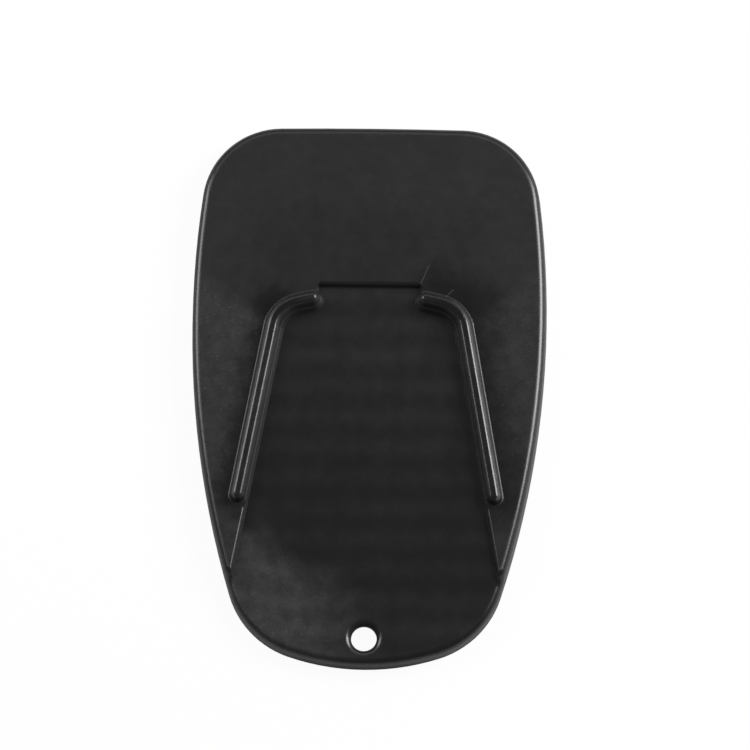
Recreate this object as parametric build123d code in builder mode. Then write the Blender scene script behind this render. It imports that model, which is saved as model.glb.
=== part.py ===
"""Kickstand foot enlarger: a pad moulded in one piece that spreads the load of a motorbike's side stand.

The stand's foot drops into a shallow pocket that is open at the narrow end, the toe, and is held by two
bent rails.  The underside is hollow, with an outer wall and a grid of ribs.

Millimetres, +Z up.  The origin is the centre of the underside, and the toe points to -Y.
"""

import os
from math import ceil, cos, hypot, radians, sin, sqrt, tan

from build123d import *

# Outline, seen from above
length = 140.0
width = 90.0
widest_from_toe = 89.9
side_radius = 243.0
back_crown = 0.62
back_corner_radius = 20.3
toe_crown = 8.6
toe_corner_radius = 23.9

# Heights: ground to pocket floor, floor to deck, deck to the tops of the rails
floor_height = 5.5
pocket_depth = 2.0
rail_height = 3.2

# Outer wall
edge_draft = 2.0
edge_round = 1.8

# Rails, placed by the line along the middle of their tops
rail_top_width = 2.3
rail_draft = 15.5
rail_round = 1.0
rail_foot_fillet = 0.6
rail_end_from_toe = 43.4
rail_end_from_side = 12.5
rail_corner_from_back = 47.8
rail_corner_from_side = 21.5
rail_bend_radius = 8.0
arm_crown = 3.9
arm_reach = 9.05

# Pocket between the rails, its step behind the tips of the arms and the ramps at the ends of its wings
pocket_setback = 0.15
pocket_draft = 17.5
pocket_round = 0.8
floor_corner_radius = 0.35
step_setback = 2.85
step_inset = 0.95
wing_end_from_toe = 25.0
ramp_length = 4.0

# Cord hole in the toe: a rounded mouth, a straight land and a flare down to the underside
hole_diameter = 6.5
hole_from_toe = 7.2
hole_round = 1.6
hole_land = 1.0
hole_flare = 14.0
hole_wall = 2.4

# Hollow underside
skin = 2.0
outer_wall = 2.2
rib = 1.2
rib_pitch_x = 7.45
rib_pitch_y = 7.95
smallest_cell = 30.0

back_y = length / 2
toe_y = -length / 2
widest_y = toe_y + widest_from_toe
hole_y = toe_y + hole_from_toe
deck_height = floor_height + pocket_depth
overall_height = deck_height + rail_height
flare_height = floor_height - hole_round - hole_land
cell_depth = floor_height - skin


def drawn_in(height, draft):
    """How far a wall of this height leans over its foot."""
    return height * tan(radians(draft))


def arc_radius(half_chord, crown):
    """Radius of the arc that rises by crown over half_chord."""
    return (half_chord**2 + crown**2) / (2 * crown)


def side_point(y):
    """Point of the outline's long side arc at y."""
    return (width / 2 - side_radius + sqrt(side_radius**2 - (y - widest_y) ** 2), y)


def mirrored(point):
    """The same point on the other side of the pad."""
    return (-point[0], point[1])


# Outline: back edge, long side and toe as arcs with rounded corners, and its mirror image
back_corner = side_point(back_y - back_crown)
toe_corner = side_point(toe_y + toe_crown)

with BuildSketch() as outline:
    with BuildLine() as half_outline:
        RadiusArc((0, back_y), back_corner, arc_radius(back_corner[0], back_crown))
        RadiusArc(back_corner, toe_corner, side_radius)
        RadiusArc(toe_corner, (0, toe_y), arc_radius(toe_corner[0], toe_crown))
        fillet(half_outline.vertices().sort_by_distance(back_corner)[0], back_corner_radius)
        fillet(half_outline.vertices().sort_by_distance(toe_corner)[0], toe_corner_radius)
        mirror(about=Plane.YZ)
    make_face()

with BuildSketch(Plane.XY.offset(overall_height)) as upper_outline:
    add(outline.sketch)
    offset(amount=-drawn_in(overall_height, edge_draft))

# Side view: the deck runs down to the pocket floor by an S-shaped ramp, and the floor runs out to the toe
ramp_top = (toe_y + wing_end_from_toe, deck_height)
ramp_foot = (ramp_top[0] - ramp_length, floor_height)
ramp_middle = ((ramp_top[0] + ramp_foot[0]) / 2, (deck_height + floor_height) / 2)

with BuildSketch(Plane.YZ) as side_view:
    with BuildLine():
        TangentArc(ramp_top, ramp_middle, tangent=(-1, 0))
        TangentArc(ramp_foot, ramp_middle, tangent=(1, 0))
        Polyline(ramp_foot, (-length, floor_height), (-length, 0), (length, 0))
        Polyline((length, 0), (length, deck_height), ramp_top)
    make_face()

# Line along the middle of a rail: up the side of the pocket, round a bend and along the arm to its tip
rail_end = (width / 2 - rail_end_from_side, toe_y + rail_end_from_toe)
rail_corner = (width / 2 - rail_corner_from_side, back_y - rail_corner_from_back)
rail_slope = (rail_end[0] - rail_corner[0]) / (rail_corner[1] - rail_end[1])
arm_radius = arc_radius(rail_corner[0], arm_crown)
arm_top_y = rail_corner[1] + arm_crown
arm_centre_y = arm_top_y - arm_radius
arm_tip_x = rail_corner[0] - arm_reach
arm_tip = (arm_tip_x, arm_centre_y + sqrt(arm_radius**2 - arm_tip_x**2))
rail_foot_width = rail_top_width + 2 * drawn_in(rail_height, rail_draft)


def rail_bands(start, band_width):
    """Bands along both rails, with round ends, from start to the tips of the arms."""
    with BuildSketch() as bands:
        with BuildLine(mode=Mode.PRIVATE) as middle:
            Line(start, rail_corner)
            RadiusArc(rail_corner, arm_tip, -arm_radius)
            fillet(middle.vertices().sort_by_distance(rail_corner)[0], rail_bend_radius)
        with BuildLine():
            offset(middle.wire(), amount=band_width / 2)
        make_face()
        mirror(about=Plane.YZ)
    return bands.sketch


# Space of the pocket: it runs close beside the feet of the rails and round the tips of their arms, and out
# past the toe.  Its inner corners leave room for the draft of its walls.
pocket_mouth_y = toe_y - width
pocket_mouth = (rail_end[0] + rail_slope * (rail_end[1] - pocket_mouth_y), pocket_mouth_y)
pocket_corner_radius = drawn_in(pocket_depth, pocket_draft) + floor_corner_radius
pocket_band_width = rail_foot_width + 2 * pocket_setback
step_width = 2 * (arm_tip_x - step_inset)

with BuildPart() as pocket:
    with BuildSketch(Plane.XY.offset(deck_height)) as pocket_edge:
        with BuildLine():
            Line(pocket_mouth, rail_corner)
            ThreePointArc(rail_corner, (0, arm_top_y), mirrored(rail_corner))
            Polyline(mirrored(rail_corner), mirrored(pocket_mouth), pocket_mouth)
        make_face()
        fillet(pocket_edge.vertices().group_by(Axis.Y)[-1], rail_bend_radius)
        with Locations((0, arm_top_y)):
            Rectangle(step_width, 2 * step_setback)
        add(rail_bands(pocket_mouth, pocket_band_width), mode=Mode.SUBTRACT)
        offset(amount=-pocket_corner_radius)
        offset(amount=pocket_corner_radius)
    extrude(amount=-pocket_depth, taper=pocket_draft)
    extrude(pocket_edge.sketch, amount=rail_height)

# What the rounding of the pocket's upper edge takes away: along each wing, from the end of the rail to the
# foot of the ramp, and along the step, up to its corners
rail_run = hypot(rail_slope, 1)
out_of_pocket = Vector(1, rail_slope) / rail_run
along_wing = Vector(rail_slope, -1) / rail_run
wing_start = Vector(*rail_end, deck_height) + (along_wing - out_of_pocket) * (pocket_band_width / 2)
wing_edge = Plane(wing_start + along_wing * rail_foot_fillet, x_dir=out_of_pocket, z_dir=along_wing)
wing_edge_length = (wing_edge.origin.Y - ramp_foot[0]) * rail_run
step_edge = Plane((0, arm_top_y + step_setback, deck_height), x_dir=(0, 1, 0), z_dir=(1, 0, 0))
step_edge_length = step_width / 2 - pocket_corner_radius
round_reach = pocket_round * tan(radians((90 - pocket_draft) / 2))
deck_side = (round_reach, 0)
wall_side = (-round_reach * sin(radians(pocket_draft)), -round_reach * cos(radians(pocket_draft)))

with BuildPart() as edge_rounding:
    with BuildSketch(wing_edge, step_edge) as rounding:
        with BuildLine():
            TangentArc(deck_side, wall_side, tangent=(-1, 0))
            Polyline(wall_side, (-pocket_round, wall_side[1]), (-pocket_round, pocket_round))
            Polyline((-pocket_round, pocket_round), (round_reach, pocket_round), deck_side)
        make_face()
    extrude(rounding.sketch.faces().sort_by(Axis.Y)[0], amount=wing_edge_length)
    extrude(rounding.sketch.faces().sort_by(Axis.Y)[-1], amount=step_edge_length)
    mirror(about=Plane.YZ)

# Open cells of the underside, between the ribs
columns = 2 * ceil(width / 2 / rib_pitch_x) + 1
rows = 2 * ceil(length / 2 / rib_pitch_y) + 1

with BuildSketch() as hollow:
    add(outline.sketch)
    offset(amount=-outer_wall)
    with Locations((0, hole_y)):
        Circle(hole_diameter / 2 + hole_wall, mode=Mode.SUBTRACT)

with BuildSketch() as cells:
    with GridLocations(rib_pitch_x, rib_pitch_y, columns, rows):
        Rectangle(rib_pitch_x - rib, rib_pitch_y - rib)
    add(hollow.sketch, mode=Mode.INTERSECT)

with BuildSketch(Plane.XY.offset(-skin)) as open_cells:
    add(cells.faces().filter_by(lambda cell: cell.area > smallest_cell))

with BuildPart() as foot_plate:
    # Plate, with the rim of its deck, ramps and toe rounded
    loft([outline.sketch, upper_outline.sketch], ruled=True)
    extrude(side_view.sketch, amount=width, both=True, mode=Mode.INTERSECT)
    top_faces = foot_plate.faces().filter_by(lambda face: face.normal_at().Z > 0.5)
    fillet(top_faces.edges().filter_by(Axis.X, reverse=True), edge_round)

    # Rails on the deck, rounded along the top and filleted along the foot
    with BuildSketch(Plane.XY.offset(deck_height)):
        add(rail_bands(rail_end, rail_foot_width))
    extrude(amount=rail_height, taper=rail_draft)
    fillet(foot_plate.faces().group_by(Axis.Z)[-1].edges(), rail_round)
    deck = foot_plate.faces().filter_by(lambda face: len(face.inner_wires()) == 2)
    fillet([edge for wire in deck[0].inner_wires() for edge in wire.edges()], rail_foot_fillet)

    # Pocket, with its free upper edges rounded
    add(pocket.part, mode=Mode.SUBTRACT)
    add(edge_rounding.part, mode=Mode.SUBTRACT)

    # Cord hole with a rounded mouth and a flare below
    with Locations((0, hole_y)):
        Hole(hole_diameter / 2)
    mouth = foot_plate.edges().filter_by(GeomType.CIRCLE).sort_by_distance((0, hole_y, floor_height))[0]
    fillet(mouth, hole_round)
    with Locations((0, hole_y)):
        Cone(
            hole_diameter / 2 + drawn_in(flare_height, hole_flare),
            hole_diameter / 2,
            flare_height,
            align=(Align.CENTER, Align.CENTER, Align.MIN),
            mode=Mode.SUBTRACT,
        )

    extrude(open_cells.sketch, amount=skin + cell_depth, mode=Mode.SUBTRACT)

os.makedirs("parts", exist_ok=True)
foot_plate.part.label = "foot_plate"
export_step(foot_plate.part, "parts/foot_plate.step")
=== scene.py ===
"""Looks of the kickstand foot enlarger: satin black plastic, a white floor, studio lamps and the camera.

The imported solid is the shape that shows.  Metres, in the frame of the solid: +Z up, toe towards -Y.
"""

import math
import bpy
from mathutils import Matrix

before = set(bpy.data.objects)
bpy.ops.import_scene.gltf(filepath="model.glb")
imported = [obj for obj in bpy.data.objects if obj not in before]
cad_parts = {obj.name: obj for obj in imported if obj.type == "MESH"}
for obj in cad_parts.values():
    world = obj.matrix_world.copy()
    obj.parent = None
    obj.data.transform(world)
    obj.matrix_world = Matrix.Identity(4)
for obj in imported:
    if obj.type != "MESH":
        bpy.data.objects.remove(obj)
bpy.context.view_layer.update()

from types import SimpleNamespace

import bpy
import numpy as np
from mathutils import Matrix, Vector

MM = 0.001

# Camera: high above the toe and a little to its right, far off with a long lens, so lines stay almost parallel
CAMERA_TURN = math.radians(6.0)
CAMERA_ELEVATION = math.radians(76.4)
CAMERA_ROLL = math.radians(-5.2)
CAMERA_DISTANCE = 7.0
SENSOR_WIDTH = 36.0

# Image: its width in pixels, its pixels to a millimetre of the pad, and where the pad's origin falls in it
IMAGE_WIDTH = 750.0
IMAGE_SCALE = 3.940
IMAGE_ORIGIN = (368.25, 401.17)

# Where each lamp is as seen from the pad: degrees round from +X, degrees up, distance; its size; its radiance.
# Then the even light from all round.
LAMPS = {
    "right_box": ((22.0, 39.0, 0.60), (0.27, 0.36), 12.5),
    "left_box": ((156.0, 39.0, 0.60), (0.22, 0.38), 5.85),
    "back_box": ((90.0, 46.0, 0.80), (0.80, 0.50), 0.78),
}
DIM_LIGHT = 0.163

# Studio floor: half its side, its gap under the pad, its matt white, and the shares of plain white that the
# camera and the pad's reflections see in it
STUDIO_HALF = 3.0
STUDIO_GAP = 0.1 * MM
STUDIO_WHITE = 0.9
SEEN_SHARE = 0.95
MIRRORED_SHARE = 0.1

# Heights of the pocket floor and the deck; where the finish of the floor gives way to the deck's, where the
# fillet at the foot of the rails begins and ends, and where the painted highlights on the shoulders of the
# rails begin
FLOOR_HEIGHT = 5.5 * MM
DECK_HEIGHT = 7.5 * MM
FLOOR_END = (FLOOR_HEIGHT + 0.4 * MM, FLOOR_HEIGHT + 0.1 * MM)
FOOT_START = (DECK_HEIGHT, DECK_HEIGHT + 0.1 * MM)
FOOT_END = (8.3 * MM, 7.9 * MM)
SHOULDER_START = (8.6 * MM, 10.0 * MM)

# Faces by their normals: how far up a rounded edge and a wall point, how far sideways a shoulder points, on
# which side of its rail it is, and how far to the toe the front of an arm points
ROUNDED = (0.985, 0.93)
WALL = (0.85, 0.60)
SHOULDER = (0.25, 0.6)
OUTER_SIDE = (-0.1, 0.1)
FRONT = (0.0, -0.6)

# Patterns, by their scale and detail: clouds, mottles, specks and, with its roughness too, the grain
CLOUD = (90.0, 2.0)
MOTTLE = (320.0, 3.0)
SPECKLE = (1500.0, 1.0)
GRAIN = (2500.0, 3.0, 0.6)
GRAIN_STRENGTH = 0.1
GRAIN_DEPTH = 0.03 * MM

# Dull wings, also painted paler there as painted light: in front of a line that slants back towards the
# sides and that the clouds bend, and fainter towards the toe and on the right
WING_SLOPE = 0.69
WING_START = 1.2 * MM
WING_BEND = 8.0 * MM
WING_EDGE = (-4.0 * MM, 4.0 * MM)
WING_FADE = (-40.0 * MM, 15.0 * MM)
WING_AT_TOE = 0.5
WING_ON_RIGHT = 0.5
LEFT_TO_RIGHT = (-10.0 * MM, 10.0 * MM)

# Clean strips, also darkened there with painted shadow: beside the middle line of the rails, from end to
# corner, with their reach on the left and on the right, and the patch of painted shade behind the right arm
RAIL = ((32.5, -26.6), (23.5, 22.2))
STRIP_REACH = (8.5 * MM, 12.5 * MM)
STRIP_FULL = 2.5 * MM
STRIP_BEND = 3.0 * MM
SHADE_PATCH = ((17.0, 29.8), (29.5, 24.5))
SHADE_PATCH_REACH = 8.0 * MM
SHADE_PATCH_BEND = 4.0 * MM
SHADE_PATCH_SHARE = 0.8

# Smoother middle of the deck, across and along
MIDDLE_ACROSS = (36.0 * MM, 20.0 * MM)
MIDDLE_ALONG = (56.0 * MM, 40.0 * MM)

# Dull left of the toe, also painted paler there as painted light: beyond a slanting line that the clouds bend
TOE_ACROSS = -0.479
TOE_ALONG = -0.877
TOE_START = -45.5 * MM
TOE_BEND = 12.0 * MM
TOE_EDGE = (-4.0 * MM, 6.0 * MM)
TOE_LEFT = (8.0 * MM, -22.0 * MM)

# Smoother front of the pocket floor and its duller end at the toe
FLOOR_FRONT = (10.0 * MM, -30.0 * MM)
FLOOR_TOE = (-46.0 * MM, -60.0 * MM)

# Sink marks over the ribs, across and along: pitch, where a mark is brightest, roughness; depth of the dips
RIB_PITCH = (7.45 * MM, 7.95 * MM)
MARK_PLACE = (3.7 * MM, 10.9 * MM)
MARK_ROUGHNESS = (0.006, 0.021)
MARK_DEPTH = 0.012 * MM

# Scratches on the deck, from end to end
SCRATCHES = (((15.1, 33.9), (13.1, 29.2)), ((21.3, 27.5), (19.5, 25.7)))
SCRATCH_WIDTH = 0.14 * MM

# Painted fill light on the step and the fronts of the arms: along, from the toe and from the back, and across
CORNER_FRONT = (14.0 * MM, 20.0 * MM)
CORNER_BACK = (35.0 * MM, 30.0 * MM)
CORNER_ACROSS = (24.0 * MM, 20.0 * MM)

# Roughness of the deck, the pocket floor, rubbed edges, walls as they were moulded and feet of the rails
DECK_ROUGHNESS = 0.345
FLOOR_ROUGHNESS = 0.285
EDGE_ROUGHNESS = 0.27
WALL_ROUGHNESS = 0.52
FOOT_ROUGHNESS = 0.55

# What each place adds to the roughness
DULL_WINGS = 0.027
CLEAN_STRIPS = -0.117
SMOOTH_MIDDLE = -0.035
DULL_TOE = 0.114
SMOOTH_FRONT = -0.043
DULL_END = 0.035

# What the patterns add to the roughness; mottles and specks on clean and on dull plastic
CLOUD_ROUGHNESS = 0.071
MOTTLE_ROUGHNESS = (0.099, 0.142)
SPECKLE_ROUGHNESS = (0.043, 0.142)

# Grey of the plastic, and what painted light on the wings and the toe, painted glints there, painted shadow in
# the clean strips, painted highlights on the rail shoulders, scratches and painted fill light on the step and
# the arm fronts add to it. Mottles make the painted light and the painted highlights uneven, and the inner
# sides of the rails get less painted highlight.
BASE_GREY = 0.0058
LIT_PATCH_GREY = 0.007
LIT_PATCH_MOTTLE = 1.8
GLINT_GREY = 0.0175
GLINT_EDGE = (0.17, 0.27)
STRIP_SHADE_GREY = -0.002
HIGHLIGHT_GREY = 0.0465
HIGHLIGHT_MOTTLE = 2.5
HIGHLIGHT_INSIDE = 0.25
SCRATCH_GREY = 0.052
FRONT_FILL_GREY = 0.016

# How strongly the plastic mirrors
PLASTIC_IOR = 1.55


class Nodes:
    """The node tree of a new material, with short ways to add to it."""

    def __init__(self, name):
        self.material = bpy.data.materials.new(name)
        self.material.use_nodes = True
        self.tree = self.material.node_tree
        self.tree.nodes.clear()

    def add(self, kind, settings=None, **inputs):
        """A node with its settings and inputs.  _0 is the first input; a space in a name is written _."""
        node = self.tree.nodes.new(kind)
        for key, value in (settings or {}).items():
            setattr(node, key, value)
        for key, value in inputs.items():
            socket = node.inputs[int(key[1:]) if key[1:].isdigit() else key.replace("_", " ")]
            if isinstance(value, bpy.types.NodeSocket):
                self.tree.links.new(value, socket)
            else:
                socket.default_value = value
        return node

    def sums(self, operation, *values):
        """The outcome of a sum on up to three values."""
        inputs = {f"_{place}": value for place, value in enumerate(values)}
        return self.add("ShaderNodeMath", {"operation": operation}, **inputs).outputs[0]

    def product(self, first, *others):
        """All the values multiplied."""
        for value in others:
            first = self.sums("MULTIPLY", first, value)
        return first

    def raised(self, value, share, amount):
        """The value and a share of an amount added to it."""
        return self.sums("MULTIPLY_ADD", share, amount, value)

    def vector(self, operation, output, **inputs):
        """The outcome of a sum on vectors."""
        return self.add("ShaderNodeVectorMath", {"operation": operation}, **inputs).outputs[output]

    def blend(self, share, start, stop):
        """From start to stop as the share goes from 0 to 1."""
        return self.add("ShaderNodeMix", None, _0=share, _2=start, _3=stop).outputs[0]

    def soft_step(self, value, start, stop):
        """From 0 to 1 as the value goes from start to stop."""
        settings = {"interpolation_type": "SMOOTHSTEP"}
        node = self.add("ShaderNodeMapRange", settings, Value=value, From_Min=start, From_Max=stop)
        return node.outputs[0]

    def noise(self, where, scale, detail, roughness=0.5):
        """Noise about zero."""
        node = self.add(
            "ShaderNodeTexNoise", None, Vector=where, Scale=scale, Detail=detail, Roughness=roughness
        )
        return self.sums("SUBTRACT", node.outputs["Fac"], 0.5)

    def off_line(self, place, start, end):
        """Distance of a place from a line between two points, which are in millimetres."""
        start, end = Vector((*start, 0)) * MM, Vector((*end, 0)) * MM
        way = end - start
        from_start = self.vector("SUBTRACT", "Vector", _0=place, _1=start)
        along = self.vector("DOT_PRODUCT", "Value", _0=from_start, _1=way / way.length_squared)
        along = self.add("ShaderNodeClamp", None, Value=along).outputs[0]
        nearest = self.vector("SCALE", "Vector", _0=way, Scale=along)
        return self.vector("DISTANCE", "Value", _0=from_start, _1=nearest)


def place_camera():
    """Aims a long lens so that the pad's origin and scale fall where they are in the image."""
    level, rise = math.cos(CAMERA_ELEVATION), math.sin(CAMERA_ELEVATION)
    right = Vector((math.cos(CAMERA_TURN), math.sin(CAMERA_TURN), 0))
    up = Vector((-rise * math.sin(CAMERA_TURN), rise * math.cos(CAMERA_TURN), level))
    back = right.cross(up)
    turned_right = math.cos(CAMERA_ROLL) * right + math.sin(CAMERA_ROLL) * up
    turned_up = math.cos(CAMERA_ROLL) * up - math.sin(CAMERA_ROLL) * right
    middle = IMAGE_WIDTH / 2
    aim_right = (middle - IMAGE_ORIGIN[0]) / IMAGE_SCALE * MM
    aim_up = (IMAGE_ORIGIN[1] - middle) / IMAGE_SCALE * MM
    place = aim_right * turned_right + aim_up * turned_up + CAMERA_DISTANCE * back
    data = bpy.data.cameras.new("photo_camera")
    data.sensor_width = SENSOR_WIDTH
    data.lens = SENSOR_WIDTH * CAMERA_DISTANCE / (IMAGE_WIDTH / IMAGE_SCALE * MM)
    camera = bpy.data.objects.new("photo_camera", data)
    turn = Matrix((turned_right, turned_up, back)).transposed().to_4x4()
    camera.matrix_world = Matrix.Translation(place) @ turn
    bpy.context.scene.collection.objects.link(camera)
    bpy.context.scene.camera = camera


def soft_box(name, bearing, size, radiance):
    """A rectangular lamp of even radiance that faces the pad and is not seen by the camera."""
    around, height, distance = math.radians(bearing[0]), math.radians(bearing[1]), bearing[2]
    level = math.cos(height)
    place = distance * Vector((level * math.cos(around), level * math.sin(around), math.sin(height)))
    data = bpy.data.lights.new(name, "AREA")
    data.shape = "RECTANGLE"
    data.size, data.size_y = size
    data.energy = radiance * math.pi * size[0] * size[1]
    lamp = bpy.data.objects.new(name, data)
    lamp.location = place
    lamp.rotation_euler = (-place).to_track_quat("-Z", "Y").to_euler()
    lamp.visible_camera = False
    bpy.context.scene.collection.objects.link(lamp)


def spot_on_pad(nodes):
    """Where a spot is on the pad, how it faces, the patterns there and the kind of surface it is on."""
    spot = SimpleNamespace()
    spot.where = nodes.add("ShaderNodeTexCoord").outputs["Object"]
    spot.x, spot.y, spot.z = nodes.add("ShaderNodeSeparateXYZ", None, Vector=spot.where).outputs
    spot.outward = nodes.sums("ABSOLUTE", spot.x)
    spot.flat = nodes.add("ShaderNodeCombineXYZ", None, X=spot.x, Y=spot.y).outputs[0]
    spot.folded = nodes.add("ShaderNodeCombineXYZ", None, X=spot.outward, Y=spot.y).outputs[0]
    facing = nodes.add("ShaderNodeNewGeometry").outputs["Normal"]
    spot.sideways, spot.backward, upward = nodes.add("ShaderNodeSeparateXYZ", None, Vector=facing).outputs

    spot.cloud = nodes.noise(spot.where, *CLOUD)
    spot.mottle = nodes.noise(spot.where, *MOTTLE)
    spot.speckle = nodes.noise(spot.where, *SPECKLE)

    spot.on_floor = nodes.soft_step(spot.z, *FLOOR_END)
    spot.on_deck = nodes.sums("SUBTRACT", 1.0, spot.on_floor)
    spot.on_right = nodes.soft_step(spot.x, *LEFT_TO_RIGHT)
    spot.rounded = nodes.soft_step(upward, *ROUNDED)
    spot.wall = nodes.soft_step(upward, *WALL)
    spot.rail_foot = nodes.product(nodes.soft_step(spot.z, *FOOT_START), nodes.soft_step(spot.z, *FOOT_END))
    return spot


def dull_lit_wings(nodes, spot):
    """Share of the dull finish on both wings of the deck, where they are also painted paler as painted light.
    """
    line = nodes.sums("MULTIPLY_ADD", spot.outward, WING_SLOPE, WING_START)
    in_front = nodes.raised(nodes.sums("SUBTRACT", line, spot.y), spot.cloud, WING_BEND)
    along = nodes.blend(nodes.soft_step(spot.y, *WING_FADE), WING_AT_TOE, 1.0)
    across = nodes.blend(spot.on_right, 1.0, WING_ON_RIGHT)
    return nodes.product(nodes.soft_step(in_front, *WING_EDGE), spot.on_deck, along, across)


def clean_shaded_strips(nodes, spot):
    """Share of clean finish beside the rails and behind the right arm, also darkened with painted shadow."""
    off_rail = nodes.raised(nodes.off_line(spot.folded, *RAIL), spot.mottle, STRIP_BEND)
    beside = nodes.soft_step(off_rail, nodes.blend(spot.on_right, *STRIP_REACH), STRIP_FULL)
    off_shade_patch = nodes.raised(nodes.off_line(spot.flat, *SHADE_PATCH), spot.mottle, SHADE_PATCH_BEND)
    shade_patch = nodes.product(nodes.soft_step(off_shade_patch, SHADE_PATCH_REACH, 0.0), SHADE_PATCH_SHARE)
    return nodes.sums("MAXIMUM", beside, shade_patch)


def dull_lit_toe(nodes, spot):
    """Share of the dull, cloudy finish at the left of the toe, also painted paler there as painted light."""
    slant = nodes.sums("MULTIPLY_ADD", spot.x, TOE_ACROSS, TOE_START)
    slant = nodes.raised(nodes.raised(slant, spot.y, TOE_ALONG), spot.cloud, TOE_BEND)
    left = nodes.soft_step(spot.x, *TOE_LEFT)
    return nodes.product(nodes.soft_step(slant, *TOE_EDGE), left, spot.on_floor)


def sink_marks(nodes, spot):
    """Waves across and along the pad with the pitch of the ribs: what they add to the roughness, and dips."""
    rough, dips = 0.0, 0.0
    for place, pitch, brightest, amount in zip((spot.x, spot.y), RIB_PITCH, MARK_PLACE, MARK_ROUGHNESS):
        turns = nodes.product(nodes.sums("SUBTRACT", place, brightest), math.tau / pitch)
        wave = nodes.sums("COSINE", turns)
        rough = nodes.raised(rough, wave, amount)
        dips = nodes.sums("SUBTRACT", dips, wave)
    return rough, nodes.product(dips, spot.on_floor)


def shoulder_highlights(nodes, spot):
    """Share of painted highlight on the shoulders of the rails, most of it on their outer sides."""
    rounded = nodes.sums("MAXIMUM", spot.rounded, spot.wall)
    high = nodes.soft_step(spot.z, *SHOULDER_START)
    sideways = nodes.soft_step(nodes.sums("ABSOLUTE", spot.sideways), *SHOULDER)
    outer = nodes.soft_step(nodes.product(spot.sideways, nodes.sums("SIGN", spot.x)), *OUTER_SIDE)
    uneven = nodes.raised(1.0, spot.mottle, HIGHLIGHT_MOTTLE)
    return nodes.product(rounded, high, sideways, nodes.blend(outer, HIGHLIGHT_INSIDE, 1.0), uneven)


def front_fill_light(nodes, spot):
    """Share of painted fill light on the step and on the fronts of the arms."""
    along = nodes.product(nodes.soft_step(spot.y, *CORNER_FRONT), nodes.soft_step(spot.y, *CORNER_BACK))
    across = nodes.soft_step(spot.outward, *CORNER_ACROSS)
    return nodes.product(spot.wall, nodes.soft_step(spot.backward, *FRONT), along, across)


def scratches(nodes, spot):
    """Share of thin pale lines on the deck."""
    share = 0.0
    for ends in SCRATCHES:
        line = nodes.soft_step(nodes.off_line(spot.flat, *ends), SCRATCH_WIDTH, 0.0)
        share = nodes.sums("MAXIMUM", line, share)
    return nodes.product(share, spot.on_deck)


def black_plastic():
    """Satin black plastic with painted light in its grey: a grained deck with dull wings, and a smoother floor
    with marks over the ribs.
    """
    nodes = Nodes("black_plastic")
    spot = spot_on_pad(nodes)
    wings, shaded_strips, toe = dull_lit_wings(nodes, spot), clean_shaded_strips(nodes, spot), dull_lit_toe(nodes, spot)
    marks, dips = sink_marks(nodes, spot)
    dull_lit = nodes.sums("ADD", wings, toe)

    # Roughness of the deck and of the pocket floor
    across, along = nodes.soft_step(spot.outward, *MIDDLE_ACROSS), nodes.soft_step(spot.y, *MIDDLE_ALONG)
    deck = nodes.raised(DECK_ROUGHNESS, wings, DULL_WINGS)
    deck = nodes.raised(deck, shaded_strips, CLEAN_STRIPS)
    deck = nodes.raised(deck, nodes.product(across, along), SMOOTH_MIDDLE)
    floor = nodes.raised(nodes.sums("ADD", marks, FLOOR_ROUGHNESS), toe, DULL_TOE)
    floor = nodes.raised(floor, nodes.soft_step(spot.y, *FLOOR_FRONT), SMOOTH_FRONT)
    floor = nodes.raised(floor, nodes.soft_step(spot.y, *FLOOR_TOE), DULL_END)

    # Patterns on both, and the other surfaces
    rough = nodes.raised(nodes.blend(spot.on_floor, deck, floor), spot.cloud, CLOUD_ROUGHNESS)
    rough = nodes.raised(rough, spot.mottle, nodes.blend(dull_lit, *MOTTLE_ROUGHNESS))
    rough = nodes.raised(rough, spot.speckle, nodes.blend(dull_lit, *SPECKLE_ROUGHNESS))
    rough = nodes.blend(spot.rounded, rough, EDGE_ROUGHNESS)
    rough = nodes.blend(spot.wall, rough, WALL_ROUGHNESS)
    rough = nodes.blend(spot.rail_foot, rough, FOOT_ROUGHNESS)

    # Grey: paler where light, glints, highlights and fill light are painted, and where scratched; darker where
    # shadow is painted in the clean strips
    painted_light = nodes.product(nodes.sums("ADD", dull_lit, toe), nodes.raised(1.0, spot.mottle, LIT_PATCH_MOTTLE))
    glints = nodes.product(nodes.soft_step(spot.speckle, *GLINT_EDGE), dull_lit)
    grey = nodes.raised(BASE_GREY, painted_light, LIT_PATCH_GREY)
    grey = nodes.raised(grey, glints, GLINT_GREY)
    grey = nodes.raised(grey, nodes.product(shaded_strips, spot.on_deck), STRIP_SHADE_GREY)
    grey = nodes.raised(grey, shoulder_highlights(nodes, spot), HIGHLIGHT_GREY)
    grey = nodes.raised(grey, scratches(nodes, spot), SCRATCH_GREY)
    grey = nodes.raised(grey, front_fill_light(nodes, spot), FRONT_FILL_GREY)
    colour = nodes.add("ShaderNodeCombineColor", None, Red=grey, Green=grey, Blue=grey).outputs[0]

    # Grain everywhere, and a shallow dip in the floor over each rib
    grain = nodes.add(
        "ShaderNodeBump",
        None,
        Height=nodes.noise(spot.where, *GRAIN),
        Strength=GRAIN_STRENGTH,
        Distance=GRAIN_DEPTH,
    )
    dipped = nodes.add(
        "ShaderNodeBump", None, Height=dips, Strength=1.0, Distance=MARK_DEPTH, Normal=grain.outputs[0]
    )
    skin = nodes.add(
        "ShaderNodeBsdfPrincipled",
        None,
        Base_Color=colour,
        Roughness=rough,
        IOR=PLASTIC_IOR,
        Normal=dipped.outputs[0],
    )
    nodes.add("ShaderNodeOutputMaterial", None, Surface=skin.outputs["BSDF"])
    return nodes.material


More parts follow.
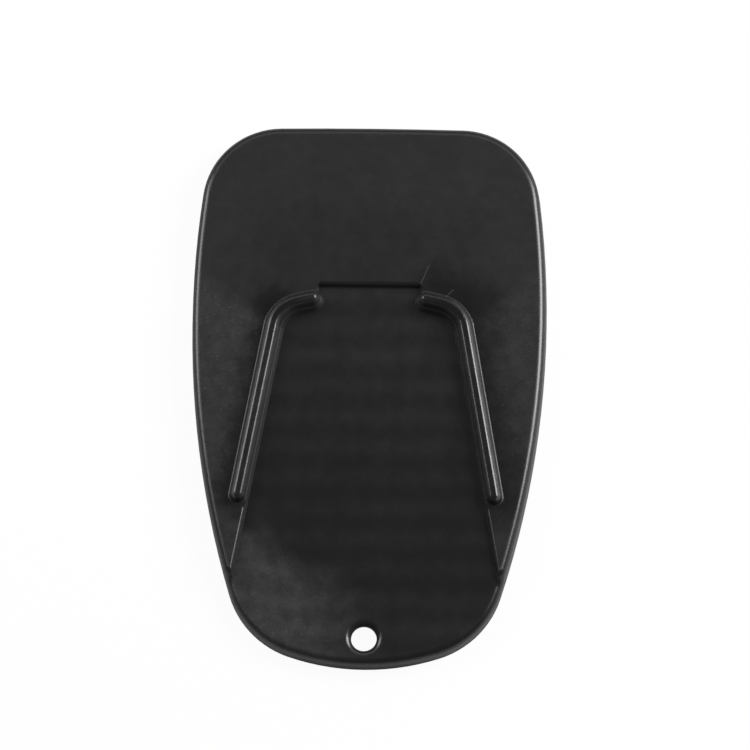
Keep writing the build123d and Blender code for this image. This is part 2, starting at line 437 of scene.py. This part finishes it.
def white_floor():
    """Matt white, mixed with plain white where the camera or a reflection sees it."""
    nodes = Nodes("white_floor")
    matt = nodes.add("ShaderNodeBsdfDiffuse", None, Color=(STUDIO_WHITE, STUDIO_WHITE, STUDIO_WHITE, 1.0))
    plain = nodes.add("ShaderNodeEmission", None, Color=(1.0, 1.0, 1.0, 1.0), Strength=1.0)
    path = nodes.add("ShaderNodeLightPath").outputs
    mirrored = nodes.sums("MAXIMUM", path["Is Glossy Ray"], path["Is Transmission Ray"])
    mirrored = nodes.product(mirrored, MIRRORED_SHARE)
    seen = nodes.product(path["Is Camera Ray"], SEEN_SHARE)
    share = nodes.sums("MAXIMUM", mirrored, seen)
    both = nodes.add("ShaderNodeMixShader", None, _0=share, _1=matt.outputs[0], _2=plain.outputs[0])
    nodes.add("ShaderNodeOutputMaterial", None, Surface=both.outputs[0])
    return nodes.material


def lay_floor():
    """A square floor under the pad: the corners of a unit square times half its side, let down by the gap."""
    square = np.array([[-1, -1, 0], [1, -1, 0], [1, 1, 0], [-1, 1, 0]], float)
    corners = square * STUDIO_HALF - (0, 0, STUDIO_GAP)
    mesh = bpy.data.meshes.new("floor")
    mesh.from_pydata(corners.tolist(), [], [(0, 1, 2, 3)])
    floor = bpy.data.objects.new("floor", mesh)
    bpy.context.scene.collection.objects.link(floor)
    mesh.materials.append(white_floor())


def dim_world():
    """Even dim light from all round, seen white by the camera past the floor's edge."""
    world = bpy.data.worlds.new("studio")
    bpy.context.scene.world = world
    world.use_nodes = True
    tree = world.node_tree
    back = tree.nodes["Background"]
    back.inputs["Color"].default_value = (1, 1, 1, 1)
    path = tree.nodes.new("ShaderNodeLightPath")
    pick = tree.nodes.new("ShaderNodeMix")
    pick.inputs[2].default_value = DIM_LIGHT
    pick.inputs[3].default_value = 1.0
    tree.links.new(path.outputs["Is Camera Ray"], pick.inputs[0])
    tree.links.new(pick.outputs[0], back.inputs["Strength"])


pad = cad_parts["foot_plate"]
pad.data.materials.clear()
pad.data.materials.append(black_plastic())

lay_floor()
dim_world()
for lamp_name, lamp_settings in LAMPS.items():
    soft_box(lamp_name, *lamp_settings)
place_camera()

bpy.context.scene.view_settings.view_transform = "Standard"
